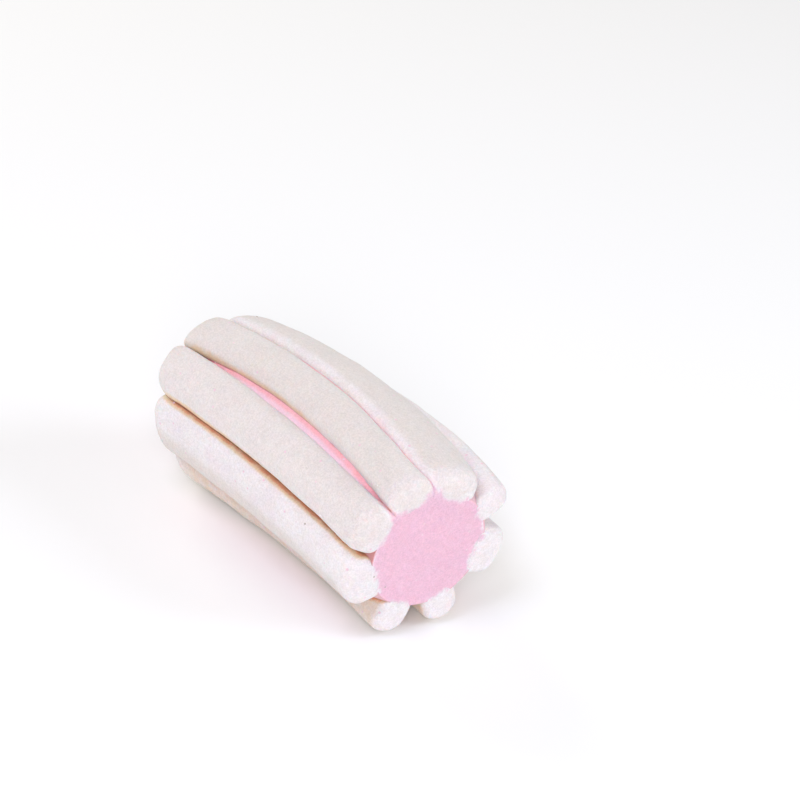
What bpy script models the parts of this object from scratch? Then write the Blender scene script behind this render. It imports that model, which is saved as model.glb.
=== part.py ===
"""Fluted marshmallow lying on its side: a pink core with eight soft white strands laid round it.

Metres, +Z up. X runs along the marshmallow from the rounded rear end to the cut front end.
The origin is the middle of its footprint, on the surface that it rests on.
"""

import bmesh
import bpy
import numpy as np

MM = 0.001

# ---- the whole ----
LENGTH = 60 * MM  # along the spine
CORE_RADIUS = 11.0 * MM  # where the core shows between two strands, at the ends
CORE_SWELL = 3.1 * MM  # it swells up between the strands by this much more, nearly all along
CORE_REAR_ROUND = 1.2 * MM  # the edge of its rear end
SIDE_BEND = np.radians(-22.5)  # the spine is an arc whose ends lean towards -Y
DROP_BEND = np.radians(-5.2)  # and droop a little
TWIST = np.radians(-9.8)  # front end against rear end
BELLY = 0.098  # the middle is fatter by this share
TAPER = 0.014  # and the front end by this share against the rear end
FRONT_SLOPE = (-0.027, -0.037)  # how far the cut runs forward for each metre of +Y and of +Z
REAR_SLOPE = (0.24, -0.093)
GAP = 0.3 * MM  # left between two pieces that touch
BED = 0.7 * MM  # every strand lies at least this deep in the core
BED_MARGIN = 0.7 * MM  # how much wider than its strand a bed in the core is, on each side

# ---- the strands ----
ROUNDNESS = 2.25  # exponent of a strand's section: 2 is an ellipse, more is squarer
FOOT_REACH = 4.5 * MM  # a strand's inner half is squashed over this length before the front cut
FOOT_ROUNDNESS = 3.0  # its exponent grows by this much there
FOOT_SPREAD = 0.12  # and its width by this share, so that the feet of two strands meet
FRONT_ROUND = 2.1 * MM  # the longest rounding at the front cut
REAR_ROUND = 5.4 * MM  # the crests round down over this length at the rear
REAR_SIDE_ROUND = 7.2 * MM  # a side draws in over this length at the rear, times its pinch
NARROWING = 0.12  # a strand is narrower at the front than at the rear by this share
SPREAD_FRONT = 9.0 * MM  # over this length a strand's spread dies away towards the front end
SPREAD_REAR = 4.5 * MM  # and over this length towards the rear end
LEAST_THICKNESS = 0.6 * MM  # a rounded strand's half thickness is never less

# Each strand: angle round the spine from +Z towards +Y, degrees; width, thickness and reach from the
# spine, mm; its own twist and its sideways bow in the middle, degrees; how much further its low and
# its high side spread between the ends, mm.
STRANDS = (
    (-24.1, 8.9, 5.4, 16.0, 3.9, 0.5, 0.3, -1.1),
    (20.7, 10.2, 5.0, 14.8, -4.7, 0.8, 2.4, 0.0),
    (62.7, 5.7, 5.9, 16.7, -2.4, 3.6, 0.0, 0.0),
    (105.2, 10.3, 6.8, 16.3, -0.3, -1.2, -1.2, 0.0),
    (160.0, 7.4, 6.1, 16.6, 0.2, -0.5, 0.0, 0.0),
    (203.0, 7.2, 6.4, 16.9, -0.3, -7.0, 0.0, 0.0),
    (248.7, 8.6, 5.9, 15.9, 2.7, -0.6, 0.0, 3.0),
    (297.75, 9.1, 6.0, 16.7, 5.0, -1.85, 0.3, -0.3),
)

# How each strand's ends are rounded: radii of its low edge, its high edge and its crest at the front
# cut, mm; its rear pinch, the shares by which its low and its high side draw in at the rear end.
ENDS = (
    (0.5, 0.5, 2.1, 0.58, 0.45),
    (0.6, 1.6, 2.1, 0.85, 0.58),
    (1.2, 1.2, 1.8, 0.58, 0.58),
    (1.5, 1.5, 1.9, 0.58, 0.58),
    (1.5, 1.5, 1.3, 0.58, 0.58),
    (1.5, 1.5, 1.8, 0.58, 0.58),
    (1.8, 0.8, 2.1, 0.58, 1.0),
    (1.7, 0.6, 2.1, 1.0, 0.58),
)

# ---- how it lies ----
ROLL = np.radians(-4.2)  # about X, so that two strands take the weight
FLAT = 0.5 * MM  # the weight presses the strands flat by this much

# ---- how finely it is made ----
ROUND_STEPS = 5  # rings in a rounded end
SPAN_STEPS = 9  # spans between the two rounded ends
STRAND_SIDES = 20  # points of a strand's ring
CORE_STEPS = 12  # points of a core ring under each strand
WIDEST_BED = 0.7  # radians to each side of a strand, beyond which the core is plainly round
BED_PASSES = 16
SHARP = np.radians(50)  # edges bent more than this stay crisp

WHITE = (0.86, 0.81, 0.79, 1.0)
PINK = (0.88, 0.58, 0.71, 1.0)


def clear_scene():
    """Removes every object that the file holds."""
    for thing in list(bpy.data.objects):
        bpy.data.objects.remove(thing)


def soft_material(name, colour):
    """A plain matt foam."""
    material = bpy.data.materials.new(name)
    material.use_nodes = True
    shader = material.node_tree.nodes["Principled BSDF"]
    shader.inputs["Base Color"].default_value = colour
    shader.inputs["Roughness"].default_value = 0.85
    shader.inputs["Metallic"].default_value = 0.0
    return material


def spine(s):
    """Centre, sideways and upward directions at each distance s along the spine from its middle."""
    bend = np.hypot(SIDE_BEND, DROP_BEND)
    lean_y, lean_z = SIDE_BEND / bend, DROP_BEND / bend
    turn = bend * s / LENGTH
    along = np.sin(turn) * LENGTH / bend
    off = (1 - np.cos(turn)) * LENGTH / bend
    centre = np.stack([along, off * lean_y, off * lean_z], axis=-1)
    leaning = np.stack([-np.sin(turn), np.cos(turn) * lean_y, np.cos(turn) * lean_z], axis=-1)
    side = np.array([0, 1 - lean_y**2, -lean_y * lean_z]) + lean_y * leaning
    up = np.array([0, -lean_y * lean_z, 1 - lean_z**2]) + lean_z * leaning
    return centre, side, up


def place(y, z, s):
    """Points at (y, z) from the spine at s. The two cuts slope, so the rings near them slope too."""
    share = s / (LENGTH / 2)
    front = np.where(share > 0, share, 0) ** 2
    rear = np.where(share < 0, share, 0) ** 2
    sloped = s + front * (FRONT_SLOPE[0] * y + FRONT_SLOPE[1] * z)
    sloped = sloped + rear * (REAR_SLOPE[0] * y + REAR_SLOPE[1] * z)
    centre, side, up = spine(sloped)
    return centre + side * y[..., None] + up * z[..., None]


def fullness(s):
    """How much fatter than its ends the marshmallow is at s."""
    share = 2 * s / LENGTH
    return 1 + BELLY * (1 - share**2) + TAPER * share / 2


def rounding(distance):
    """How far a rounded edge has drawn in at this distance from the end, both in radii of it."""
    past = np.clip(1 - distance, 0, 1)
    return 1 - np.sqrt(1 - past**2)


def smooth(share):
    """0 to 1 with soft ends."""
    share = np.clip(share, 0, 1)
    return share * share * (3 - 2 * share)


def core_outside(s):
    """The core's radius between the strands at s."""
    share = 2 * s / LENGTH
    return CORE_RADIUS * fullness(s) + CORE_SWELL * (1 - share**4)


def strand_section(index, s):
    """A strand's section at s: distance of its middle from the spine, half its thickness outwards and
    inwards, half its width to its low and its high side, and its angle round the spine."""
    angle, width, thickness, reach, twist, bow, low_spread, high_spread = STRANDS[index]
    low_round, high_round, outer_round, low_pinch, high_pinch = ENDS[index]
    share = 2 * s / LENGTH
    to_front, to_rear = LENGTH / 2 - s, LENGTH / 2 + s
    outer = outer_round * MM
    drawn_in = outer * rounding(to_front / outer) + REAR_ROUND * rounding(to_rear / REAR_ROUND)
    half_thick = thickness * MM / 2
    middle = reach * MM * fullness(s) - half_thick - drawn_in / 2
    outwards = np.maximum(half_thick - drawn_in / 2, LEAST_THICKNESS)
    inwards = np.maximum(outwards, middle - (core_outside(s) - BED))
    spread = MM / 2 * (1 - rounding(to_front / SPREAD_FRONT) - rounding(to_rear / SPREAD_REAR))
    half_wide = width * MM / 2 * (1 - NARROWING * share / 2) + (low_spread + high_spread) * spread
    sides = []
    for rounded, pinch in ((low_round * MM, low_pinch), (high_round * MM, high_pinch)):
        drawn = pinch * rounding(to_rear / (pinch * REAR_SIDE_ROUND))
        sides.append(half_wide * (1 - drawn) - rounded * rounding(to_front / rounded))
    turned = np.radians(angle + bow * (1 - share**2)) + (TWIST + np.radians(twist)) * share / 2
    turned = turned + (high_spread - low_spread) * spread / middle
    return middle, outwards, inwards, sides[0], sides[1], turned


def borders(s):
    """The angles halfway between each strand and the next at s, one row for each strand."""
    rows = []
    for index in range(len(STRANDS)):
        following = (index + 1) % len(STRANDS)
        middle, _, _, _, high_side, angle = strand_section(index, s)
        next_middle, _, _, low_side, _, next_angle = strand_section(following, s)
        if following == 0:
            next_angle = next_angle + 2 * np.pi
        edge = angle + np.arcsin(high_side / middle)
        next_edge = next_angle - np.arcsin(low_side / next_middle)
        rows.append((edge + next_edge) / 2)
    return rows


def foot(s):
    """The exponent of a strand's inner half at s, and the share by which it is wider there."""
    near = smooth(1 - (LENGTH / 2 - s) / FOOT_REACH)
    return ROUNDNESS + FOOT_ROUNDNESS * near, FOOT_SPREAD * near


def stations():
    """Where the rings stand along the spine, rear to front, closer together in the rounded ends."""
    quarter = np.linspace(0, np.pi / 2, ROUND_STEPS)
    rear = -LENGTH / 2 + REAR_ROUND * (1 - np.cos(quarter))
    front = LENGTH / 2 - FRONT_ROUND * (1 - np.cos(quarter))
    span = np.linspace(rear[-1], front[-1], SPAN_STEPS + 1)
    return np.concatenate([rear, span[1:-1], front[::-1]])[:, None]


def strand_rings(index):
    """The strand's rings, rear to front, kept on its own side of the borders with its neighbours."""
    s = stations()
    middle, outwards, inwards, low_side, high_side, angle = strand_section(index, s)
    squareness, spread = foot(s)
    around = np.linspace(0, 2 * np.pi, STRAND_SIDES, endpoint=False)
    out, sideways = np.cos(around), np.sin(around)
    power = 2 / np.where(out > 0, ROUNDNESS, squareness)
    half_wide = np.where(sideways > 0, high_side, low_side) * (1 + spread * np.maximum(-out, 0))
    out = middle + np.sign(out) * np.abs(out) ** power * np.where(out > 0, outwards, inwards)
    across = np.sign(sideways) * np.abs(sideways) ** power * half_wide
    distance = np.hypot(out, across)
    above = borders(s)[index]
    below = borders(s)[index - 1] - (2 * np.pi if index == 0 else 0)
    clearance = GAP / 2 / distance
    turned = np.clip(angle + np.arctan2(across, out), below + clearance, above - clearance)
    return place(distance * np.sin(turned), distance * np.cos(turned), s + 0 * distance)


def core_angles(s):
    """The angles of the core's points at s: the same number across each strand, border to border."""
    above = borders(s)
    below = [above[-1] - 2 * np.pi] + above[:-1]
    across = np.linspace(0, 1, CORE_STEPS, endpoint=False)
    return np.concatenate([low + (high - low) * across for low, high in zip(below, above)], axis=1)


def bed_radius(index, s, around, outside):
    """How far out the core reaches at each angle, where the strand beds into it."""
    middle, _, inwards, low_side, high_side, angle = strand_section(index, s)
    squareness, spread = foot(s)
    off = (around - angle + np.pi) % (2 * np.pi) - np.pi
    off = np.clip(off, -WIDEST_BED, WIDEST_BED)
    half_wide = np.where(off > 0, high_side, low_side) * (1 + spread) + BED_MARGIN
    bed = (middle - inwards - GAP) / np.cos(off)
    for _ in range(BED_PASSES):  # from the deepest point outwards, until it meets the strand
        across = np.clip(np.abs(bed * np.sin(off)) / half_wide, 0, 1)
        depth = (inwards + GAP) * (1 - across**squareness) ** (1 / squareness)
        bed = (middle - depth) / np.cos(off)
    return np.where(across < 1, np.minimum(bed, outside), outside)


def core_rings():
    """The core's rings: round, and hollowed where a strand beds into it."""
    s = stations()
    around = core_angles(s)
    outside = core_outside(s) - CORE_REAR_ROUND * rounding((LENGTH / 2 + s) / CORE_REAR_ROUND)
    outside = outside + 0 * around
    radius = outside
    for index in range(len(STRANDS)):
        radius = np.minimum(radius, bed_radius(index, s, around, outside))
    return place(radius * np.sin(around), radius * np.cos(around), s + 0 * radius)


def rolled(points):
    """The points turned about X to the way the marshmallow lies."""
    x, y, z = np.moveaxis(points, -1, 0)
    rolled_y = y * np.cos(ROLL) - z * np.sin(ROLL)
    rolled_z = y * np.sin(ROLL) + z * np.cos(ROLL)
    return np.stack([x, rolled_y, rolled_z], axis=-1)


def settled(shapes):
    """Lays the pieces on the floor, flattens what touches it and centres the footprint."""
    shapes = {name: rolled(rings) for name, rings in shapes.items()}
    everything = np.concatenate([rings.reshape(-1, 3) for rings in shapes.values()])
    floor = everything[:, 2].min() + FLAT
    middle = (everything.min(axis=0) + everything.max(axis=0)) / 2
    lowered = {}
    for name, rings in shapes.items():
        moved = rings - np.array([middle[0], middle[1], floor])
        moved[..., 2] = np.maximum(moved[..., 2], 0)
        lowered[name] = moved
    return lowered


def loft(name, rings, material, collection):
    """A closed skin over the rings, with a flat cap at each end."""
    shape = bmesh.new()
    rows = [[shape.verts.new(point) for point in ring] for ring in rings]
    sides = len(rows[0])
    for row, following in zip(rows, rows[1:]):
        for i in range(sides):
            j = (i + 1) % sides
            shape.faces.new((row[i], row[j], following[j], following[i]))
    shape.faces.new(rows[0][::-1])
    shape.faces.new(rows[-1])
    bmesh.ops.recalc_face_normals(shape, faces=shape.faces)
    mesh = bpy.data.meshes.new(name)
    shape.to_mesh(mesh)
    shape.free()
    mesh.materials.append(material)
    mesh.shade_smooth()
    mesh.set_sharp_from_angle(angle=SHARP)
    thing = bpy.data.objects.new(name, mesh)
    collection.objects.link(thing)
    return thing


def build():
    clear_scene()
    collection = bpy.data.collections.new("fluted_marshmallow")
    bpy.context.scene.collection.children.link(collection)
    white = soft_material("strand", WHITE)
    pink = soft_material("core", PINK)
    shapes = {"core": core_rings()}
    for index in range(len(STRANDS)):
        shapes[f"strand_{index + 1}"] = strand_rings(index)
    for name, rings in settled(shapes).items():
        loft(name, rings, pink if name == "core" else white, collection)


build()
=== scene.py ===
import bmesh
import bpy
import numpy as np
from mathutils import Matrix, Vector


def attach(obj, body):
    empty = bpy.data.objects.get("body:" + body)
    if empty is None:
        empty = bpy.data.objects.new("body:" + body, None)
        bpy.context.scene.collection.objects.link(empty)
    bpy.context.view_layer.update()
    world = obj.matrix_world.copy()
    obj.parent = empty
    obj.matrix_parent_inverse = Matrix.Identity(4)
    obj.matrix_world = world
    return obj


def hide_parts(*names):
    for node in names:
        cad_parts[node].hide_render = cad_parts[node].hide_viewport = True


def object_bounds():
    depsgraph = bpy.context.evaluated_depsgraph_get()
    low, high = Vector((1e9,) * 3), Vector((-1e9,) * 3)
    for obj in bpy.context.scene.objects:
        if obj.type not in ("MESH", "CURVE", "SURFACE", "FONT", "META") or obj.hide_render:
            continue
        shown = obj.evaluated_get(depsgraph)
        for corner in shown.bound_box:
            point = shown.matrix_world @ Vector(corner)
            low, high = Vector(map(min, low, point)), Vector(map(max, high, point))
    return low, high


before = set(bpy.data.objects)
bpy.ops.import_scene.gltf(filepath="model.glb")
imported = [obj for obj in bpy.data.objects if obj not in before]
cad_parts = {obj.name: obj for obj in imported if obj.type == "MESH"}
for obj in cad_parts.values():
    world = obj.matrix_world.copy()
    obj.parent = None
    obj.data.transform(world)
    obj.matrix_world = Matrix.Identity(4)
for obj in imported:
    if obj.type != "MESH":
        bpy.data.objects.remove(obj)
CAD_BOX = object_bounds()

MM = 0.001

# ---- the marshmallow, as its solids have it: X along the spine, +Z up, metres ----
LENGTH = 60 * MM
CORE_RADIUS = 11.0 * MM  # where the core shows between two strands, at the ends
CORE_SWELL = 3.1 * MM  # it swells up between the strands by this much more, nearly all along
CORE_REAR_ROUND = 1.2 * MM  # the edge of its rear end
SIDE_BEND = np.radians(-22.5)  # the spine is an arc whose ends lean towards -Y
DROP_BEND = np.radians(-5.2)  # and droop a little
TWIST = np.radians(-9.8)  # front end against rear end
BELLY = 0.098  # the middle is fatter by this share
TAPER = 0.014  # and the front end by this share against the rear end
FRONT_SLOPE = (-0.027, -0.037)  # how far the cut runs forward for each metre of +Y and of +Z
REAR_SLOPE = (0.24, -0.093)
BED = 0.7 * MM  # every strand lies at least this deep in the core
ROUNDNESS = 2.25  # exponent of a strand's section: 2 is an ellipse, more is squarer
FOOT_REACH = 4.5 * MM  # a strand's inner half is squashed over this length before the front cut
FOOT_ROUNDNESS = 3.0  # its exponent grows by this much there
FOOT_SPREAD = 0.12  # and its width by this share, so that the feet of two strands meet
FRONT_ROUND = 2.1 * MM  # the longest rounding at the front cut
REAR_ROUND = 5.4 * MM  # the crests round down over this length at the rear
REAR_SIDE_ROUND = 7.2 * MM  # a side draws in over this length at the rear, times its pinch
NARROWING = 0.12  # a strand is narrower at the front than at the rear by this share
SPREAD_FRONT = 9.0 * MM  # over this length a strand's spread dies away towards the front end
SPREAD_REAR = 4.5 * MM  # and over this length towards the rear end
LEAST_THICKNESS = 0.6 * MM  # a rounded strand's half thickness is never less
ROLL = np.radians(-4.2)  # how it lies, about X

# Each strand: angle round the spine from +Z towards +Y, degrees; width, thickness and reach from the
# spine, mm; its own twist and its bow, degrees; how much further its low and its high side spread
# between the ends, mm.
STRANDS = (
    (-24.1, 8.9, 5.4, 16.0, 3.9, 0.5, 0.3, -1.1),
    (20.7, 10.2, 5.0, 14.8, -4.7, 0.8, 2.4, 0.0),
    (62.7, 5.7, 5.9, 16.7, -2.4, 3.6, 0.0, 0.0),
    (105.2, 10.3, 6.8, 16.3, -0.3, -1.2, -1.2, 0.0),
    (160.0, 7.4, 6.1, 16.6, 0.2, -0.5, 0.0, 0.0),
    (203.0, 7.2, 6.4, 16.9, -0.3, -7.0, 0.0, 0.0),
    (248.7, 8.6, 5.9, 15.9, 2.7, -0.6, 0.0, 3.0),
    (297.75, 9.1, 6.0, 16.7, 5.0, -1.85, 0.3, -0.3),
)
# Each strand's low and high side: how round the side is at the front cut, mm; how strongly it is painted
# with warm shade down in the groove; how far the crest's painted shade reaches towards it, as a turn of
# the section in degrees; and how much of the side's width is drawn in at the rear end.
SIDES = (
    ((0.5, 0.6, 85, 0.58), (0.5, 0.6, 80, 0.45)),
    ((0.6, 0.0, 52, 0.85), (1.6, 0.3, 80, 0.58)),
    ((1.2, 0.65, 40, 0.58), (1.2, 0.8, 70, 0.58)),
    ((1.5, 0.7, 40, 0.58), (1.5, 0.8, 40, 0.58)),
    ((1.5, 0.9, 40, 0.58), (1.5, 0.8, 40, 0.58)),
    ((1.5, 1.0, 60, 0.58), (1.5, 0.9, 40, 0.58)),
    ((1.8, 0.6, 80, 0.58), (0.8, 1.4, -5, 1.0)),
    ((1.7, 1.0, 80, 1.0), (0.6, 0.0, 75, 0.58)),
)
OUTER_ROUNDS = (2.1, 2.1, 1.8, 1.9, 1.3, 1.8, 2.1, 2.1)  # how round each crest is at the front cut, mm
DUSKS = (0.1, 0.5, 0.6, 0.6, 0.6, 0.6, 1.0, 0.0)  # how much dusky painted shade the core has beyond each strand
SHADED_CRESTS = (0.88, 1.0, 1.0, 1.0, 1.0, 1.0, 1.0, 0.65)  # how strongly each strand's crest is painted with a greyer shade
SHADED_ENDS = (0.68, 0.5, 0.1, 0.0, 0.0, 0.0, 0.0, 0.92)  # how much of that its end keeps
FLANK_SHADES = (0.0, 0.0, 0.08, 0.1, 0.4, 0.25, 0.0, 0.0)  # how much painted shade lies over the whole flanks of a strand
SMEARS = (0.0, 0.0, 0.3, 0.0, 0.0, 0.0, 0.5, 0.0)  # white smeared over the core's rim there, mm

# ---- the fine surface ----
SPACING = 0.29 * MM  # between the points of the fine meshes
STRAND_SIDES = 92  # points of a strand's ring
STRAND_CAP_STEPS = 20  # rings of a strand's end face
CORE_CAP_STEPS = 40  # and of the core's
CORE_STEPS = 30  # points of a core ring under each strand
CAP_BULGE = 0.2 * MM  # how far forwards the middle of a strand's end face stands
PROUD = 0.05 * MM  # how far the strands' cut faces stand before the core's
REAR_SHORT = 0.7  # the core is shorter at the rear by this share of its rounding there
REAR_SHORT_OVER = 8 * MM
SHARP = np.radians(50)  # edges bent more than this stay crisp
SHORT_OF_TIP = 0.98  # a tip's direction is taken from this share of the spine on
OUT_OF_REACH = 9  # half widths, for a strand on the core's other side
LAY_STEP = 50 * MM  # the strands take their patterns from places this far apart in the foam's lay

# ---- where the foam changes colour; a pair is how far from something a change starts and ends ----
NOOK = 1.7 * MM  # how far above the core the strands' flanks are painted with warm shade
CLOSE = 1.5 * MM  # and how far from the next strand
LESS_AHEAD = 0.25  # the share by which both are less at the front
LESS_FROM = (0, 25 * MM)  # ahead of the middle, they grow less
SHADE_THRESHOLD = 0.7  # with painted warm shade over this, a side keeps it up to the front cut; under it, pink shows there
PINK_FROM = (0, 12 * MM)  # ahead of the middle, the painted shade gives way to that pink
SQUEEZED = (0.315 * MM, 1.215 * MM)  # from the next strand, the pink ends
BLUSHING = (0.105 * MM, 0.405 * MM)  # from the next strand, the salmon flush painted on it as shade ends
CREVICE = (0, 0.8 * MM)  # from the next strand, the dark painted shade of the flanks ends
DARK_FROM_SHADE = (0.5, 1.0)  # strengths of warm painted shade from which a flank gets that dark painted shade
RIM = (0, 1.6 * MM)  # from the front cut, the flanks' painted shade sets in
REAR_SHADE = 0.3  # the share of its painted shade that a strand's rear tip keeps
REAR_PALE = (0, 9 * MM)  # from the rear tip, they reach their full strength
CREST_EDGE = (-12.5, 12.5)  # the edge of a crest's painted shade, as a turn of the section in degrees
SHADED_FROM = (0.7 * MM, 4.2 * MM)  # from the front cut, the crests' painted shade sets in
TORN_EDGE = (0, 1.2 * MM)  # from the front cut, the torn grain of the cut face ends
SEAM = 0.7  # half of how far the pink and the white run into each other at the cut, mm
RAGGED = 2.6  # how uneven that seam is, mm
FAR_FROM_SEAM = 5.0  # mm
FEET_IN_PINK = (-0.25 * MM, 0.25 * MM)  # into the core, a strand's rim turns pink at the cut
NOTCH = 1.7 * MM  # how far the pink of the cut face climbs between two strands that touch
CORNER = 1.5 * MM  # how far from a strand the core is reddened as painted shade
REDDER_AHEAD = 0.15  # the share by which it is redder at the front
REDDER_FROM = (0, 15 * MM)  # ahead of the middle, it grows redder
LINE = CORNER / 4  # how far from a strand the core has a dark line of painted shade
LINE_STRENGTH = 1.6
FAINTER_AHEAD = 0.7  # the share by which the line is fainter at the front
FAINTER_FROM = (6.4 * MM, 22.4 * MM)  # ahead of the middle, it grows fainter
UNSHADED_FRONT = (0, 1.0 * MM)  # from the front cut, the core's painted shade sets in
UNSHADED_REAR = (1.2 * MM, 5.2 * MM)  # and from its rear end
DUSK_FROM = (1.2 * MM, 9.2 * MM)  # from its rear end, the core's dusky painted shade sets in
DARK_DUSK = 0.8  # how dark the painted shade makes a wholly dusky core
DARK_DUSK_FROM = (4 * MM, 9 * MM)  # from the front cut, that dark sets in
EVEN_PINK = 1.35  # over 1, so the bright pink painted light on the core's side has no smudges
SMOOTH_SIDE = 0.7  # the share of the creases that the core's side lacks


def smooth(share):
    """0 to 1 with soft ends."""
    share = np.clip(share, 0, 1)
    return share * share * (3 - 2 * share)


def rise(distance, start, end):
    """0 up to the start and 1 from the end on."""
    return smooth((distance - start) / (end - start))


def fall(distance, start, end):
    """1 up to the start and 0 from the end on."""
    return smooth((end - distance) / (end - start))


def spine(s):
    """Centre, sideways and upward directions at each distance s along the spine from its middle."""
    bend = np.hypot(SIDE_BEND, DROP_BEND)
    lean_y, lean_z = SIDE_BEND / bend, DROP_BEND / bend
    turn = bend * s / LENGTH
    along = np.sin(turn) * LENGTH / bend
    off = (1 - np.cos(turn)) * LENGTH / bend
    centre = np.stack([along, off * lean_y, off * lean_z], axis=-1)
    leaning = np.stack([-np.sin(turn), np.cos(turn) * lean_y, np.cos(turn) * lean_z], axis=-1)
    side = np.array([0, 1 - lean_y**2, -lean_y * lean_z]) + lean_y * leaning
    up = np.array([0, -lean_y * lean_z, 1 - lean_z**2]) + lean_z * leaning
    return centre, side, up


def place(y, z, s):
    """Points at (y, z) from the spine at s, turned about X to the way the marshmallow lies."""
    share = s / (LENGTH / 2)
    front = np.where(share > 0, share, 0) ** 2
    rear = np.where(share < 0, share, 0) ** 2
    sloped = s + front * (FRONT_SLOPE[0] * y + FRONT_SLOPE[1] * z)
    sloped = sloped + rear * (REAR_SLOPE[0] * y + REAR_SLOPE[1] * z)
    centre, side, up = spine(sloped)
    x, y, z = np.moveaxis(centre + side * y[..., None] + up * z[..., None], -1, 0)
    return np.stack([x, y * np.cos(ROLL) - z * np.sin(ROLL), y * np.sin(ROLL) + z * np.cos(ROLL)], axis=-1)


def fullness(s):
    """How much fatter than its ends the marshmallow is at s."""
    share = 2 * s / LENGTH
    return 1 + BELLY * (1 - share**2) + TAPER * share / 2


def core_outside(s):
    """The core's radius between the strands."""
    share = 2 * s / LENGTH
    return CORE_RADIUS * fullness(s) + CORE_SWELL * (1 - share**4)


def rounding(distance):
    """How far a rounded edge has drawn in at this distance from the end, both in radii of it."""
    past = np.clip(1 - distance, 0, 1)
    return 1 - np.sqrt(1 - past**2)


def strand_section(index, s):
    """A strand's section at s: distance of its middle from the spine, half its thickness outwards and
    inwards, half its width to each side, and its angle round the spine."""
    angle, width, thickness, reach, twist, bow, low_spread, high_spread = STRANDS[index]
    (low_round, _, _, low_pinch), (high_round, _, _, high_pinch) = SIDES[index]
    share = 2 * s / LENGTH
    to_front = LENGTH / 2 - s
    rear = rounding((LENGTH / 2 + s) / REAR_ROUND)
    outer = OUTER_ROUNDS[index] * MM
    drawn_in = outer * rounding(to_front / outer) + REAR_ROUND * rear
    half_thick = thickness * MM / 2
    spread = MM / 2 * (1 - rounding(to_front / SPREAD_FRONT) - rounding((LENGTH / 2 + s) / SPREAD_REAR))
    half_wide = width * MM / 2 * (1 - NARROWING * share / 2) + (low_spread + high_spread) * spread
    middle = reach * MM * fullness(s) - half_thick - drawn_in / 2
    outwards = np.maximum(half_thick - drawn_in / 2, LEAST_THICKNESS)
    inwards = np.maximum(outwards, middle - (core_outside(s) - BED))
    sides = []
    for rounded, pinch in ((low_round * MM, low_pinch), (high_round * MM, high_pinch)):
        drawn = pinch * rounding((LENGTH / 2 + s) / (pinch * REAR_SIDE_ROUND))
        sides.append(half_wide * (1 - drawn) - rounded * rounding(to_front / rounded))
    turned = np.radians(angle + bow * (1 - share**2)) + (TWIST + np.radians(twist)) * share / 2
    turned = turned + (high_spread - low_spread) * spread / middle
    return middle, outwards, inwards, sides[0], sides[1], turned


def borders(s):
    """The angles halfway between each strand and the next at s, one row for each strand."""
    rows = []
    for index in range(len(STRANDS)):
        following = (index + 1) % len(STRANDS)
        middle, _, _, _, high_side, angle = strand_section(index, s)
        next_middle, _, _, low_side, _, next_angle = strand_section(following, s)
        if following == 0:
            next_angle = next_angle + 2 * np.pi
        edge = angle + np.arcsin(high_side / middle)
        next_edge = next_angle - np.arcsin(low_side / next_middle)
        rows.append((edge + next_edge) / 2)
    return rows


def foot(s):
    """How squarely a strand's inner half stands on the core at s, and how much wider it is there: near
    the front cut the strands are squashed together, so that their feet meet."""
    near = fall(LENGTH / 2 - s, 0, FOOT_REACH)
    return ROUNDNESS + FOOT_ROUNDNESS * near, FOOT_SPREAD * near


def section_ring(index, s, around):
    """The strand's section: how far out and how far across its points lie, around its middle."""
    middle, outwards, inwards, low_side, high_side, _ = strand_section(index, s)
    out, across = np.cos(around), np.sin(around)
    squareness, spread = foot(s)
    power = 2 / np.where(out > 0, ROUNDNESS, squareness)
    sunk = np.maximum(-out, 0)
    radial = np.sign(out) * np.abs(out) ** power * np.where(out > 0, outwards, inwards)
    side = np.where(across > 0, high_side, low_side) * (1 + spread * sunk)
    return middle + radial, np.sign(across) * np.abs(across) ** power * side


def outside_strands(s, around, radius):
    """Roughly how far the points at s lie outside the nearest strand's inner half, metres."""
    nearest = np.full_like(radius, np.inf)
    squareness, spread = foot(s)
    for index in range(len(STRANDS)):
        middle, _, inwards, low_side, high_side, angle = strand_section(index, s)
        off = (around - angle + np.pi) % (2 * np.pi) - np.pi
        depth = np.maximum(middle - radius * np.cos(off), 0) / inwards
        side = np.where(off > 0, high_side, low_side) * (1 + spread * np.minimum(depth, 1))
        across = np.abs(radius * np.sin(off)) / side
        across = np.where(np.cos(off) > 0, across, OUT_OF_REACH)
        share = (across**squareness + depth**squareness) ** (1 / squareness)
        nearest = np.minimum(nearest, (share - 1) * inwards)
    return nearest


def notch(y, z):
    """How deep the points of the cut face lie in the pink that climbs between two strands, mm."""
    s = np.array(LENGTH / 2)
    distance = np.hypot(y, z)
    beside = distance
    for border in borders(s):
        off = (np.arctan2(y, z) - border + np.pi) % (2 * np.pi) - np.pi
        beside = np.minimum(beside, np.abs(off) * distance)
    return (NOTCH - (distance - core_outside(s)) - beside) / MM / np.sqrt(2)


def stations():
    """Where the rings stand along the spine, rear to front, closer together in the rounded ends."""
    rear_steps = int(REAR_ROUND * np.pi / 2 / SPACING)
    front_steps = int(FRONT_ROUND * np.pi / 2 / SPACING)
    rear = -LENGTH / 2 + REAR_ROUND * (1 - np.cos(np.linspace(0, np.pi / 2, rear_steps)))
    front = LENGTH / 2 - FRONT_ROUND * (1 - np.cos(np.linspace(0, np.pi / 2, front_steps)))
    span = np.linspace(rear[-1], front[-1], int((front[-1] - rear[-1]) / SPACING))
    return np.concatenate([rear, span[1:-1], front[::-1]])[:, None]


# ---- noise ----

LATTICE_SIZE = 32  # cells along each edge before the noise repeats
NOISE_HEIGHT = 1.6  # brings the noise to between about -1 and 1
SEED_SHIFT = 7.3  # how many cells the noise moves from one seed to the next


def lattice(seed):
    """The noise's slope at each corner of its cells."""
    slopes = np.random.default_rng(seed).normal(size=(LATTICE_SIZE, LATTICE_SIZE, LATTICE_SIZE, 3))
    return slopes / np.linalg.norm(slopes, axis=-1, keepdims=True)


LATTICES = [lattice(seed) for seed in range(4)]


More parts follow.
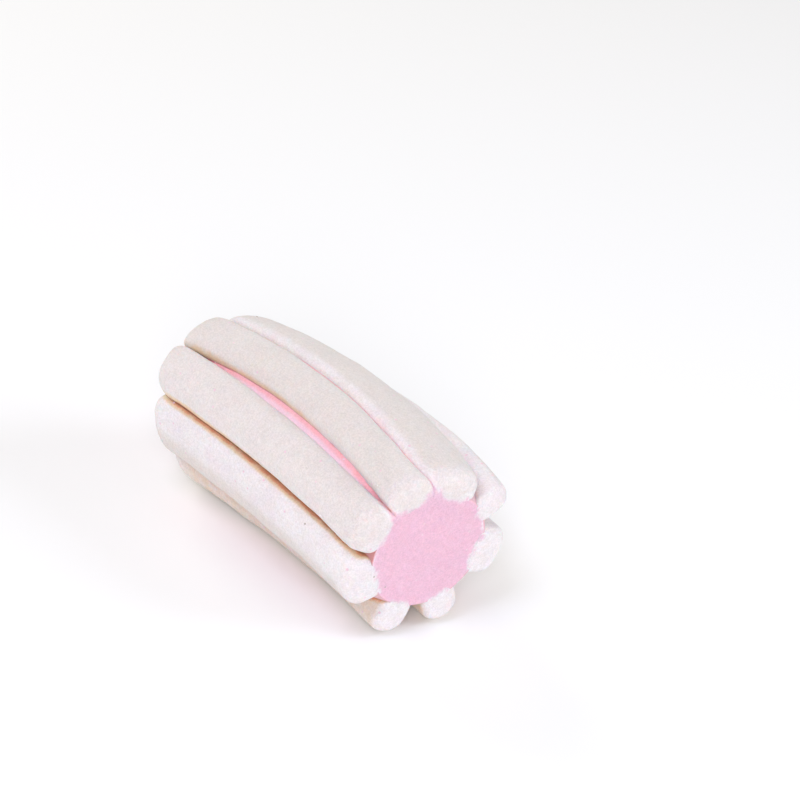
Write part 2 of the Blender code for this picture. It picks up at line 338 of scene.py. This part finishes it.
def noise(points, size, seed=0):
    """Smooth noise between about -1 and 1, with blobs of this size."""
    scaled = points / size + SEED_SHIFT * seed
    cell = np.floor(scaled).astype(int)
    inside = scaled - cell
    fade = inside**3 * (inside * (inside * 6 - 15) + 10)
    total = np.zeros(points.shape[:-1])
    slopes = LATTICES[seed % len(LATTICES)]
    for corner in np.ndindex(2, 2, 2):
        weight = np.prod(np.where(corner, fade, 1 - fade), axis=-1)
        i, j, k = np.moveaxis((cell + corner) % LATTICE_SIZE, -1, 0)
        total += weight * np.sum(slopes[i, j, k] * (inside - corner), axis=-1)
    return total * NOISE_HEIGHT


# ---- meshes ----


def poled(rings):
    """The rings' points in one row, with one point for each of the two poles."""
    body = rings[1:-1].reshape(-1, *rings.shape[2:])
    return np.concatenate([rings[:1, 0], body, rings[-1:, 0]])


def skin(name, rings, values):
    """A closed mesh over rings that begin and end in a pole, with point values as attributes."""
    count, sides = rings.shape[:2]
    points = poled(rings)
    faces = []
    last = len(points) - 1
    for side in range(sides):
        following = (side + 1) % sides
        faces.append((0, 1 + following, 1 + side))
        base = 1 + (count - 3) * sides
        faces.append((last, base + side, base + following))
    for row in range(count - 3):
        low = 1 + row * sides
        high = low + sides
        for side in range(sides):
            following = (side + 1) % sides
            faces.append((low + side, low + following, high + following, high + side))
    mesh = bpy.data.meshes.new(name)
    mesh.from_pydata(points, [], faces)
    mesh.shade_smooth()
    for label, value in values.items():
        kind, field = ("FLOAT_VECTOR", "vector") if value.ndim == 3 else ("FLOAT", "value")
        layer = mesh.attributes.new(label, kind, "POINT")
        layer.data.foreach_set(field, poled(value).astype(np.float32).ravel())
    return mesh


def read_points(mesh, normals=False):
    """The places of the mesh's points, or its normals there."""
    source = mesh.vertex_normals if normals else mesh.vertices
    flat = np.zeros(len(source) * 3, np.float32)
    source.foreach_get("vector" if normals else "co", flat)
    return flat.reshape(-1, 3).astype(float)


def capped(rings, values, steps, bulge):
    """Adds the end faces: rings that shrink to a pole in the middle, with the last ring's values."""
    cap = 1 - np.linspace(0, 1, steps + 1)[1:, None, None]
    ends = []
    for end, sign in ((0, -1), (-1, 1)):
        centre = rings[end].mean(axis=0)
        tip, short_of_it = spine(sign * LENGTH / 2 * np.array([1, SHORT_OF_TIP]))[0]
        forwards = sign * (tip - short_of_it)
        forwards /= np.linalg.norm(forwards)
        disc = centre + (rings[end] - centre) * cap + forwards * bulge * (1 - cap**2) ** 2
        ends.append(disc[::sign])
    grown = np.concatenate([ends[0], rings, ends[1]])
    stretched = {}
    for label, value in values.items():
        shape = (steps,) + (1,) * (value.ndim - 1)
        stretched[label] = np.concatenate([np.tile(value[:1], shape), value, np.tile(value[-1:], shape)])
    return grown, stretched, cap[:, :, 0]


def lay_on_caps(values, rings, steps):
    """The foam's lay carries on flat over the end faces, and is left out where it turns the edge."""
    values["join"] = np.zeros(rings.shape[:2])
    for face, edge in (
        (slice(0, steps), slice(steps - 1, steps + 1)),
        (slice(-steps, None), slice(-steps - 1, -steps + 1)),
    ):
        values["lay"][face] = rings[face, :, ::-1]
        values["join"][edge] = 1


# ---- the strands and the core, with the values that their materials need at each point: "nook", how much
# warm painted shade it has; "crevice", how much dark painted shade; "dusk", how much dusky painted shade,
# or of a salmon flush painted as shade on a strand; "cream", how much of the crest's painted shade, or of
# the core's bright pink painted light; "seam", how deep it lies in the pink, mm; "cut", how torn; "lay",
# its place in the foam's lay; and "join", how much of what follows the lay is left out ----


def strand_seam_and_shade(index, s, around, distance, gaps):
    """The colour values of a strand's side, from the gaps to the borders of its neighbours: painted shade
    in the grooves and on the crests, and the pink at the cut.
    """
    to_front = LENGTH / 2 - s
    reach = 1 - LESS_AHEAD * rise(s, *LESS_FROM)
    deep = fall(distance - core_outside(s), 0, NOOK * reach)
    ahead = rise(s, *PINK_FROM)
    nook, crevice, pink, flush = np.zeros((4, *distance.shape))
    # the crests' painted shade, a greyer cream, at each strand's strength
    crest = SHADED_CRESTS[index] + np.zeros(distance.shape)
    # each side: warm painted shade down in the groove, dark painted shade where it closes, and near the
    # front the core's pink with a salmon flush painted as shade
    for gap, (_, warm_shade, painted_shading, _), sign in zip(gaps, SIDES[index], (-1, 1)):
        here = around * sign > 0
        shaded_ahead = 1 if warm_shade > SHADE_THRESHOLD else 1 - ahead
        pink_ahead = ahead * (warm_shade < SHADE_THRESHOLD)
        near = np.maximum(deep, fall(gap, 0, CLOSE * reach))
        nook += np.where(here, shaded_ahead * np.maximum(warm_shade * near, FLANK_SHADES[index]), 0)
        crevice += np.where(here, rise(warm_shade, *DARK_FROM_SHADE) * fall(gap, *CREVICE), 0)
        pink += np.where(here, pink_ahead * fall(gap, *SQUEEZED), 0)
        flush += np.where(here, pink_ahead * fall(gap, *BLUSHING), 0)
        crest *= fall(np.degrees(around) * sign - painted_shading, *CREST_EDGE)
    rim = rise(to_front, *RIM)
    shade_kept = REAR_SHADE + (1 - REAR_SHADE) * rise(LENGTH / 2 + s, *REAR_PALE)
    kept_tone = SHADED_ENDS[index]
    return {
        "nook": np.minimum(nook * rim, 1) * shade_kept,
        "crevice": np.minimum(crevice * shade_kept * rim, 1),
        "dusk": flush,
        "seam": -FAR_FROM_SEAM * (1 - pink),
        "cream": crest * (kept_tone + (1 - kept_tone) * rise(to_front, *SHADED_FROM)),
    }


def strand_surface(index):
    """The rings of a strand and its values."""
    s = stations()
    _, outwards, inwards, low_side, high_side, angle = strand_section(index, s)
    around = np.linspace(-np.pi, np.pi, STRAND_SIDES, endpoint=False)
    out, sideways = section_ring(index, s, around)
    distance = np.hypot(out, sideways)
    above = borders(s)[index]
    below = borders(s)[index - 1] - (2 * np.pi if index == 0 else 0)
    turned = np.clip(angle + np.arctan2(sideways, out), below, above)
    y, z = distance * np.sin(turned), distance * np.cos(turned)
    rings = place(y, z, s + PROUD * smooth(2 * s / LENGTH) + 0 * distance)
    gaps = (turned - below) * distance, (above - turned) * distance
    values = strand_seam_and_shade(index, s, around, distance, gaps)
    arc = around * (outwards + (low_side + high_side) / 2) / 2
    values["lay"] = np.stack([s + 0 * distance, arc, 0 * arc + index * LAY_STEP], axis=-1)
    in_pink = rise(core_outside(s) - distance, *FEET_IN_PINK)[-1]
    values["seam"][-1] = np.maximum(-FAR_FROM_SEAM * (1 - in_pink), notch(y[-1], z[-1]))

    # the cut face: the pink runs in from the core's edge
    steps = STRAND_CAP_STEPS
    rings, values, cap = capped(rings, values, steps, CAP_BULGE)
    face_y = y[-1].mean() + cap * (y[-1] - y[-1].mean())
    face_z = z[-1].mean() + cap * (z[-1] - z[-1].mean())
    run_in = (1 - cap) * (outwards[-1] + inwards[-1]) / 2 / MM
    seam = np.minimum(values["seam"][-steps - 1], 0) - run_in
    values["seam"][-steps:] = np.maximum(seam, notch(face_y, face_z))
    for label in ("nook", "crevice", "dusk"):
        values[label][-steps:] = 0
    # the cut face keeps part of the crest's painted shade
    end_tone = SHADED_CRESTS[index] * SHADED_ENDS[index]
    values["cream"][-steps:] = end_tone + (values["cream"][-1] - end_tone) * cap**2
    lay_on_caps(values, rings, steps)
    values["cut"] = np.zeros(rings.shape[:2])
    values["cut"][-steps:] = 1
    values["cut"][steps:-steps] = fall(LENGTH / 2 - s, *TORN_EDGE)
    return rings, values


def corners(s, around, radius, reach):
    """How near each point of the core's side lies to a strand: its tan where they meet."""
    near = 0 * around
    for index in range(len(STRANDS)):
        middle, _, inwards, low_side, high_side, angle = strand_section(index, s)
        off = (around - angle + np.pi) % (2 * np.pi) - np.pi
        half_wide = np.where(off > 0, high_side, low_side)
        height = np.clip((middle - radius) / inwards, 0, 1)
        edge = half_wide * (1 - height**ROUNDNESS) ** (1 / ROUNDNESS)
        (_, low_warm_shade, _, _), (_, high_warm_shade, _, _) = SIDES[index]
        warm_shade = np.where(off > 0, high_warm_shade, low_warm_shade)
        near = np.maximum(near, warm_shade * fall(np.abs(off) * radius - edge, 0, reach))
    return near


def grooves(s, around, shares):
    """The share of each point of the core, from the strand that it follows."""
    angles = [strand_section(index, s)[-1] for index in range(len(STRANDS))]
    spread = 0 * around
    for index, share in enumerate(shares):
        following = angles[(index + 1) % len(angles)]
        width = (following - angles[index]) % (2 * np.pi)
        spread = np.where((around - angles[index]) % (2 * np.pi) < width, share, spread)
    return spread


def core_surface():
    """The rings of the core and its values. It is round, and drawn back between the rear tips."""
    s = stations()
    edges = borders(s)
    share = np.linspace(0, 1, CORE_STEPS, endpoint=False)
    columns = []
    for below, above in zip([edges[-1] - 2 * np.pi] + edges[:-1], edges):
        columns.append(below + (above - below) * share)
    around = np.concatenate(columns, axis=1)
    to_front, to_rear = LENGTH / 2 - s, LENGTH / 2 + s
    radius = core_outside(s) - CORE_REAR_ROUND * rounding(to_rear / CORE_REAR_ROUND) + 0 * around
    drawn_back = REAR_SHORT * CORE_REAR_ROUND * fall(to_rear, 0, REAR_SHORT_OVER)
    rings = place(radius * np.sin(around), radius * np.cos(around), s + drawn_back + 0 * radius)

    # the side: painted shade, as dusky grooves, and red corners and dark lines along the strands
    shade_share = rise(to_front, *UNSHADED_FRONT) * rise(to_rear, *UNSHADED_REAR)
    dusk = grooves(s, around, DUSKS) * rise(to_rear, *DUSK_FROM)
    red = corners(s, around, radius, CORNER) * shade_share * (1 + REDDER_AHEAD * rise(s, *REDDER_FROM))
    line = smooth(LINE_STRENGTH * corners(s, around, radius, LINE)) * shade_share
    line = line * (1 - FAINTER_AHEAD * rise(s, *FAINTER_FROM))
    values = {
        "nook": red * (1 - dusk),
        "dusk": dusk,
        "crevice": np.maximum(DARK_DUSK * dusk * rise(to_front, *DARK_DUSK_FROM), line),
        "seam": FAR_FROM_SEAM + 0 * around,
        "lay": np.stack([s + 0 * around, around * CORE_RADIUS, 0 * around], axis=-1),
    }

    # the cut face: the white runs in from the strands, and here and there over the rim
    steps = CORE_CAP_STEPS
    rings, values, cap = capped(rings, values, steps, 0.0)
    inside = cap * radius[-1]
    clear = outside_strands(s[-1], around[-1], inside) / MM
    clear = np.maximum(clear, notch(inside * np.sin(around[-1]), inside * np.cos(around[-1])))
    smear = grooves(s, around, SMEARS)[-1]
    past_smear = (radius[-1] - inside) / MM - smear
    values["seam"][-steps:] = np.where(smear > 0, np.minimum(clear, past_smear), clear)
    for label in ("nook", "dusk", "crevice"):
        values[label][-steps:] = 0
        values[label][:steps] = 0
    lay_on_caps(values, rings, steps)
    values["join"][steps:-steps] = np.maximum(values["join"][steps:-steps], SMOOTH_SIDE)
    values["cut"] = np.zeros(rings.shape[:2])
    values["cut"][-steps:] = 1
    # the core's side gets the bright pink painted light
    values["cream"] = EVEN_PINK * (1 - values["cut"])
    return rings, values


# The layers of the relief: how far each swells and sinks, mm; the size of its blobs, mm; its seed
LUMPS = ((0.20, 11, 1), (0.07, 5, 2))
RIPPLES = ((0.045, 2.2, 3), (0.022, 1.1, 4), (0.014, 0.6, 5))
TORN = ((0.05, 1.4, 6), (0.03, 0.7, 7))  # on the cut faces alone
FLATTER_CUT = 0.7  # the share of the lumps that the cut faces lack


def relief(points, cut):
    """How far the surface swells or sinks at each point: soft lumps, ripples and a torn grain."""
    lumps, ripples, torn = (
        sum(height * noise(points, size * MM, seed) for height, size, seed in layers)
        for layers in (LUMPS, RIPPLES, TORN)
    )
    return (lumps * (1 - FLATTER_CUT * cut) + ripples + torn * cut) * MM


# ---- crumbs ----

# Crumbs of foam that cling to the strands: the strand, counted from 0; how far along the spine, mm; the
# turn of its section, degrees; and the crumb's size, mm
CRUMBS = (
    (7, 20.0, -51, 0.65),
    (0, 25.6, -60, 0.45),
    (6, -6.0, 52, 0.3),
    (1, 9.0, -48, 0.3),
    (7, -14.0, 40, 0.25),
    (3, 12.0, 60, 0.4),
    (4, -10.0, -50, 0.35),
    (5, 5.0, 75, 0.4),
    (2, -18.0, 30, 0.3),
    (0, 27.0, 35, 0.25),
)
FLECKS = ((1, -24.6, -20, 0.5),)  # and the brown ones
CRUMB_SHAPE = (1.0, 0.75, 0.6)  # its length, width and height, in sizes
CRUMB_SWELL = 0.45  # how uneven it is
CRUMB_BLOB = 0.7  # how large its bumps are, in sizes
CRUMB_HEIGHT = 0.2  # how far its middle stands from the foam, in sizes


def lump(size, seed):
    """The points and faces of an uneven little crumb round the origin."""
    ball = bmesh.new()
    bmesh.ops.create_icosphere(ball, subdivisions=3, radius=size / 2)
    points = np.array([point.co for point in ball.verts])
    faces = [[point.index for point in face.verts] for face in ball.faces]
    ball.free()
    swell = noise(points + seed * size, size * CRUMB_BLOB, seed)
    return points * np.array(CRUMB_SHAPE) * (1 + CRUMB_SWELL * swell[:, None]), faces


def scatter(name, spots, finished, material):
    """One mesh of crumbs, each sunk a little into the strand that it clings to."""
    points, faces = [], []
    for seed, (index, along, turn, size) in enumerate(spots):
        surface, normals = finished[f"strand_{index + 1}"]
        row = np.argmin(np.abs(stations()[:, 0] - along * MM)) + STRAND_CAP_STEPS
        column = int(round((turn + 180) / 360 * STRAND_SIDES)) % STRAND_SIDES
        vertex = 1 + (row - 1) * STRAND_SIDES + column
        crumb_points, crumb_faces = lump(size * MM, seed)
        first = sum(map(len, points))
        faces += [[first + corner for corner in face] for face in crumb_faces]
        points.append(crumb_points + surface[vertex] + normals[vertex] * size * MM * CRUMB_HEIGHT)
    mesh = bpy.data.meshes.new(name)
    mesh.from_pydata(np.concatenate(points), [], faces)
    mesh.shade_smooth()
    mesh.materials.append(material)
    piece = bpy.data.objects.new(name, mesh)
    bpy.context.scene.collection.objects.link(piece)
    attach(piece, "root")


# ---- materials ----

WHITES = ((0.89, 0.825, 0.82, 1.0), (0.92, 0.865, 0.88, 1.0), (0.89, 0.815, 0.83, 1.0))
PINKS = ((0.87, 0.54, 0.67, 1.0), (0.90, 0.585, 0.71, 1.0), (0.88, 0.56, 0.685, 1.0))
# Each foam's near tones; the tone painted over its crests, painted shade on the white and painted light on
# the core's side; the painted shade of its grooves, from dusky or flushed to dark; the other foam's tone,
# and how deep in the pink, mm, that one starts and reaches its full share
WHITE_FOAM = {
    "tones": WHITES,
    # a greyer cream: painted shade on the crests
    "painted_shading": (0.803, 0.731, 0.69, 1.0),
    # salmon flush: painted shade where the strands squeeze together
    "dusky": (1.0, 0.50, 0.44, 1.0),
    # warm, deeper and dark tones: painted shade down in the strands' grooves
    "warm_shade": (0.84, 0.64, 0.42, 1.0),
    "deep_shade": (0.80, 0.38, 0.22, 1.0),
    "dark": (0.40, 0.15, 0.09, 1.0),
    "other": PINKS[1],
    "seam": (-SEAM, SEAM),
}
PINK_FOAM = {
    "tones": PINKS,
    # a brighter pink: painted light on the core's side
    "painted_shading": (0.96, 0.67, 0.77, 1.0),
    # dusky, salmon, red and dark tones: painted shade in the core's grooves and along the strands
    "dusky": (0.66, 0.32, 0.32, 1.0),
    "warm_shade": (1.0, 0.50, 0.55, 1.0),
    "deep_shade": (0.90, 0.36, 0.33, 1.0),
    "dark": (0.60, 0.22, 0.24, 1.0),
    "other": WHITES[1],
    "seam": (SEAM, -SEAM),
}
SPECK_PINK = (0.90, 0.66, 0.74, 1.0)
SPECK_BROWN = (0.52, 0.43, 0.37, 1.0)
CRUMB_WHITES = ((0.94, 0.90, 0.89, 1.0), (0.90, 0.84, 0.82, 1.0))
FLECK_BROWNS = ((0.42, 0.30, 0.21, 1.0), (0.30, 0.20, 0.14, 1.0))

# What both foams' shaders are set to, and the crumbs'
FOAM = {
    "Roughness": 0.85,
    "Specular IOR Level": 0.25,
    "Subsurface Weight": 1.0,
    "Subsurface Radius": (1.0, 0.62, 0.48),
    "Subsurface Scale": 0.25 * MM,
    "Sheen Weight": 0.06,
    "Sheen Roughness": 0.5,
}
CRUMB = {"Roughness": 0.85, "Subsurface Weight": 0.5, "Subsurface Scale": 0.1 * MM}

# Noises: size, detail, roughness and, for one, distortion
FRAYS = (1.5 * MM, 2.0, 0.55)
HAIRS = (0.8 * MM, 2.0, 0.55, 0.4)
STROKES = (0.9 * MM, 3.0, 0.6)
GRAIN = (0.32 * MM, 3.0, 0.7)
CRUMB_GRAIN = (0.12 * MM, 3.0, 0.6)
MIDDLE = 0.5  # of a noise

# Patterns: a noise, and then what part of its range becomes what
BLOTCHES = ((0.8 * MM, 4.0, 0.6), (0.35, 0.65, 0.0, 1.0))  # of the second near tone on the first
CLOUDS = ((5 * MM, 2.0, 0.5), (0.45, 0.7, 0.0, 1.0))  # of the third
SMUDGES = ((1.2 * MM, 3.0, 0.6), (0.3, 0.7, 0.8, 1.0))  # in the crests' painted shade
PATCHES = ((1.8 * MM, 3.0, 0.6), (0.3, 0.7, 0.75, 1.25))  # in the warm and the deeper painted shade
CREASED_PATCHES = ((4 * MM, 2.0, 0.5), (0.3, 0.7, 0.3, 0.65))  # where the creases show more

# What part of a point's value, or of the fine relief, becomes what
WARM_SHADE_SHARE = (0.03, 0.5, 0.0, 0.9)
DEEP_SHADE_SHARE = (0.55, 0.95, 0.0, 0.9)
DARK_SHARE = (0.3, 1.0, 0.0, 1.0)
CREASE_HEIGHTS = (0.0, 0.035, 0.0, 1.0)
GRAIN_SHADES = (0.32, 0.68, 0.90, 1.02)
CREASE_SHADES = (0.0, 1.0, 0.90, 1.0)
STROKE_SHADES = (0.35, 0.65, 0.96, 1.0)
CRUMB_SHARE = (0.35, 0.65, 0.0, 1.0)

# Specks: the size of their cells, the share of the cells that have one, and its radius in cells
PINK_SPECKS = (1.7 * MM, 0.3, 0.13)
BROWN_SPECKS = (4.5 * MM, 0.22, 0.04)
SPECK_EDGE = (1.4, 0.6)  # a speck sets in between these shares of its radius
ASIDE = 0.4  # how far the brown ones' cells are moved along each axis, metres

# How the foam's pattern is stretched along its lay and turned, and how deep its fine relief is
HAIR_LAY = ((0.5, 2.4, 1.0), 0.7)
STROKE_LAY = ((3.0, 1.0, 1.0), -0.5)
STROKE_DEPTH = 0.12 * MM
GRAIN_DEPTH = 0.12 * MM
CREASE_DEPTH = 0.05 * MM
CRUMB_GRAIN_DEPTH = 0.04 * MM
NO_CREASES = (1.0, 1.0, 1.0, 1.0)  # the height of what has none
NO_STROKES = (0.5, 0.5, 0.5, 1.0)


class Nodes:
    """A material's node tree, with short calls for the nodes that the foam needs."""

    def __init__(self, name, surface):
        self.material = bpy.data.materials.new(name)
        self.material.use_nodes = True
        self.tree = self.material.node_tree
        self.shader = self.tree.nodes["Principled BSDF"].inputs
        for label, value in surface.items():
            self.shader[label].default_value = value

    def link(self, source, target):
        self.tree.links.new(source, target)

    def add(self, kind, inputs, **settings):
        """A new node's outputs; each input is set to its number or colour, or linked to an output."""
        node = self.tree.nodes.new(f"ShaderNode{kind}")
        for setting, value in settings.items():
            setattr(node, setting, value)
        for label, value in inputs.items():
            if isinstance(value, bpy.types.NodeSocket):
                self.link(value, node.inputs[label])
            else:
                node.inputs[label].default_value = value
        return node.outputs

    def value(self, name):
        """One of the values that the mesh has at each point."""
        return self.add("Attribute", {}, attribute_name=name)["Fac"]

    def lay(self):
        return self.add("Attribute", {}, attribute_name="lay")["Vector"]

    def position(self):
        return self.add("TexCoord", {})["Object"]

    def noise(self, where, size, detail, roughness, distortion=0.0):
        inputs = {"Detail": detail, "Roughness": roughness, "Distortion": distortion}
        return self.add("TexNoise", {"Vector": where, "Scale": 1 / size, **inputs})["Fac"]

    def stretch(self, where, scale, turn):
        return self.add("Mapping", {"Vector": where, "Scale": scale, "Rotation": (0, 0, turn)})["Vector"]

    def ramp(self, value, low, high, bottom, top):
        """Low to high becomes bottom to top, with soft ends."""
        inputs = {"Value": value, "From Min": low, "From Max": high, "To Min": bottom, "To Max": top}
        return self.add("MapRange", inputs, interpolation_type="SMOOTHSTEP")["Result"]

    def pattern(self, where, noise, span):
        return self.ramp(self.noise(where, *noise), *span)

    def combine(self, operation, first, second=0.0):
        return self.add("Math", {0: first, 1: second}, operation=operation)["Value"]

    def mix(self, share, first, second):
        return self.add("Mix", {"Factor": share, "A": first, "B": second}, data_type="RGBA")["Result"]

    def specks(self, where, size, share, radius):
        """A mask of small round spots."""
        cells = self.add("TexVoronoi", {"Vector": where, "Scale": 1 / size})
        outer, inner = SPECK_EDGE
        spot = self.ramp(cells["Distance"], radius * inner, radius * outer, 1.0, 0.0)
        drawn = self.add("SeparateColor", {"Color": cells["Color"]})["Red"]
        return self.combine("MULTIPLY", spot, self.combine("LESS_THAN", drawn, share))

    def bump(self, height, distance, **below):
        return self.add("Bump", {"Height": height, "Distance": distance, **below})["Normal"]


def fine_relief(nodes, where):
    """Gives the foam short strokes and hair-like creases along its lay, and a grain. Returns the shade
    that they add to its colour."""
    lay, join = nodes.lay(), nodes.value("join")
    hairs = nodes.noise(nodes.stretch(lay, *HAIR_LAY), *HAIRS)
    from_crease = nodes.combine("ABSOLUTE", nodes.combine("SUBTRACT", hairs, MIDDLE))
    creases = nodes.ramp(from_crease, *CREASE_HEIGHTS)
    creases = nodes.mix(nodes.pattern(where, *CREASED_PATCHES), NO_CREASES, creases)
    creases = nodes.mix(join, creases, NO_CREASES)
    strokes = nodes.noise(nodes.stretch(lay, *STROKE_LAY), *STROKES)
    strokes = nodes.mix(join, strokes, NO_STROKES)
    grain = nodes.noise(where, *GRAIN)
    normal = nodes.bump(strokes, STROKE_DEPTH)
    normal = nodes.bump(grain, GRAIN_DEPTH, Normal=normal)
    normal = nodes.bump(creases, CREASE_DEPTH, Normal=normal)
    nodes.link(normal, nodes.shader["Normal"])
    shade = nodes.ramp(grain, *GRAIN_SHADES)
    shade = nodes.combine("MULTIPLY", shade, nodes.ramp(creases, *CREASE_SHADES))
    return nodes.combine("MULTIPLY", shade, nodes.ramp(strokes, *STROKE_SHADES))


def foam(name, tones, painted_shading, dusky, warm_shade, deep_shade, dark, other, seam):
    """Powdered marshmallow: soft blotches of near tones; a greyer painted shade on the white's crests and
    a brighter pink painted light on the core's side; painted shade in the grooves, dusky on the core and a
    salmon flush on the strands; the other foam run in at the cuts; then warm, deeper and dark painted
    shade down in the grooves, and a few specks."""
    nodes = Nodes(name, FOAM)
    where = nodes.position()
    colour = nodes.mix(nodes.pattern(where, *BLOTCHES), tones[0], tones[1])
    colour = nodes.mix(nodes.pattern(where, *CLOUDS), colour, tones[2])
    # painted shade on the white's crests, painted light on the core's side
    crest = nodes.combine("MULTIPLY", nodes.value("cream"), nodes.pattern(where, *SMUDGES))
    colour = nodes.mix(crest, colour, painted_shading)
    # painted shade in the grooves: dusky on the core, a salmon flush on the strands
    colour = nodes.mix(nodes.value("dusk"), colour, dusky)
    fray = nodes.combine("SUBTRACT", nodes.noise(where, *FRAYS), MIDDLE)
    depth = nodes.combine("ADD", nodes.value("seam"), nodes.combine("MULTIPLY", fray, RAGGED))
    colour = nodes.mix(nodes.ramp(depth, *seam, 0.0, 1.0), colour, other)
    # warm, deeper and dark painted shade down in the grooves
    nook = nodes.combine("MULTIPLY", nodes.value("nook"), nodes.pattern(where, *PATCHES))
    colour = nodes.mix(nodes.ramp(nook, *WARM_SHADE_SHARE), colour, warm_shade)
    colour = nodes.mix(nodes.ramp(nook, *DEEP_SHADE_SHARE), colour, deep_shade)
    colour = nodes.mix(nodes.ramp(nodes.value("crevice"), *DARK_SHARE), colour, dark)
    colour = nodes.mix(nodes.specks(where, *PINK_SPECKS), colour, SPECK_PINK)
    aside = nodes.add("VectorMath", {0: where, 1: (ASIDE, ASIDE, ASIDE)}, operation="ADD")["Vector"]
    colour = nodes.mix(nodes.specks(aside, *BROWN_SPECKS), colour, SPECK_BROWN)
    shade = fine_relief(nodes, where)
    shaded = nodes.add("VectorMath", {0: colour, "Scale": shade}, operation="SCALE")["Vector"]
    nodes.link(shaded, nodes.shader["Base Color"])
    return nodes.material


def crumb(name, tones):
    """A crumb: two near tones in a fine grain."""
    nodes = Nodes(name, CRUMB)
    grain = nodes.noise(nodes.position(), *CRUMB_GRAIN)
    nodes.link(nodes.mix(nodes.ramp(grain, *CRUMB_SHARE), *tones), nodes.shader["Base Color"])
    nodes.link(nodes.bump(grain, CRUMB_GRAIN_DEPTH), nodes.shader["Normal"])
    return nodes.material


def dress(surfaces):
    """Lays the fine surfaces where the solids are, gives them their relief and materials."""
    clean = np.concatenate([rings.reshape(-1, 3) for rings, _ in surfaces.values()])
    low, high = clean.min(axis=0), clean.max(axis=0)
    cad_low, cad_high = np.array(CAD_BOX[0]), np.array(CAD_BOX[1])
    shift = (cad_low + cad_high) / 2 - (low + high) / 2
    shift[2] = cad_high[2] - high[2]
    white = foam("marshmallow_white", **WHITE_FOAM)
    pink = foam("marshmallow_pink", **PINK_FOAM)
    finished = {}
    for node, (rings, values) in surfaces.items():
        mesh = skin(f"soft_{node}", rings + shift, values)
        points, normals = read_points(mesh), read_points(mesh, True)
        cut = poled(values["cut"])
        points = points + normals * relief(points, cut)[:, None]
        points[:, 2] = np.maximum(points[:, 2], 0)
        mesh.vertices.foreach_set("co", points.astype(np.float32).ravel())
        mesh.update()
        finished[node] = points, normals
        mesh.set_sharp_from_angle(angle=SHARP)
        piece = bpy.data.objects.new(f"soft_{node}", mesh)
        bpy.context.scene.collection.objects.link(piece)
        mesh.materials.append(pink if node == "core" else white)
        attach(piece, "root")
        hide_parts(node)
    scatter("crumbs", CRUMBS, finished, crumb("crumb_white", CRUMB_WHITES))
    scatter("flecks", FLECKS, finished, crumb("fleck_brown", FLECK_BROWNS))


# ---- the studio: angles in degrees ----

FLOOR_SIZE = 6
FLOOR = {"Base Color": (0.96, 0.958, 0.955, 1.0), "Roughness": 0.9}
SKY_COLOUR = (1.0, 0.94, 0.87, 1.0)
SKY_STRENGTH = 0.44
# Soft lights round the marshmallow: where they stand, azimuth and elevation, power in watts, colour
LIGHTS = (
    ("key", 45, 30, 3.9, (0.93, 0.94, 1.0)),
    ("high", 0, 60, 3.0, (0.76, 0.82, 1.0)),
    ("right", 135, 30, 3.3, (0.80, 0.88, 1.0)),
    ("left", 270, 30, 2.1, (1.0, 0.97, 0.82)),
)
LIGHT_DISTANCE = 0.95
LIGHT_SIZE = 0.5

TARGET = Vector((0, 0, 17.5 * MM))  # in the marshmallow's middle
CAMERA_DISTANCE = 374 * MM
CAMERA_LENS = 96.3
CAMERA_SENSOR = 36
NEAREST_SEEN = 10 * MM
AZIMUTH, ELEVATION, CAMERA_ROLL = 44.22, 31.05, 9.18
TRUCK = (12.36 * MM, 10.05 * MM)  # the frame's middle lies this far right of and above the marshmallow


def towards(azimuth, elevation):
    """The direction to something at this azimuth, 0 being -Y and 90 +X, and this elevation."""
    azimuth, elevation = np.radians((azimuth, elevation))
    flat = np.cos(elevation)
    return Vector((np.sin(azimuth) * flat, -np.cos(azimuth) * flat, np.sin(elevation)))


def make_floor():
    bpy.ops.mesh.primitive_plane_add(size=FLOOR_SIZE)
    floor = bpy.context.object
    floor.name = "floor"
    floor.data.materials.append(Nodes("floor", FLOOR).material)


def make_light(name, direction, power, colour):
    data = bpy.data.lights.new(name, "AREA")
    data.shape = "DISK"
    data.size = LIGHT_SIZE
    data.energy = power
    data.color = colour
    light = bpy.data.objects.new(name, data)
    bpy.context.scene.collection.objects.link(light)
    light.location = TARGET + direction * LIGHT_DISTANCE
    light.rotation_euler = direction.to_track_quat("Z", "Y").to_euler()
    light.visible_camera = False


def make_camera():
    back = towards(AZIMUTH, ELEVATION)
    level = towards(AZIMUTH + 90, 0)
    upright = back.cross(level)
    roll = np.radians(CAMERA_ROLL)
    right = level * np.cos(roll) + upright * np.sin(roll)
    up = upright * np.cos(roll) - level * np.sin(roll)
    data = bpy.data.cameras.new("camera")
    data.lens = CAMERA_LENS
    data.sensor_width = CAMERA_SENSOR
    data.clip_start = NEAREST_SEEN
    camera = bpy.data.objects.new("camera", data)
    turned = Matrix((right, up, back)).transposed().to_4x4()
    turned.translation = TARGET + right * TRUCK[0] + up * TRUCK[1] + back * CAMERA_DISTANCE
    camera.matrix_world = turned
    bpy.context.scene.collection.objects.link(camera)
    bpy.context.scene.camera = camera


def light_scene():
    world = bpy.data.worlds.new("studio")
    bpy.context.scene.world = world
    world.use_nodes = True
    background = world.node_tree.nodes["Background"]
    background.inputs["Color"].default_value = SKY_COLOUR
    background.inputs["Strength"].default_value = SKY_STRENGTH
    for name, azimuth, elevation, power, colour in LIGHTS:
        make_light(name, towards(azimuth, elevation), power, colour)
    bpy.context.scene.view_settings.view_transform = "Standard"


surfaces = {"core": core_surface()}
for number in range(len(STRANDS)):
    surfaces[f"strand_{number + 1}"] = strand_surface(number)
dress(surfaces)
make_floor()
make_camera()
light_scene()
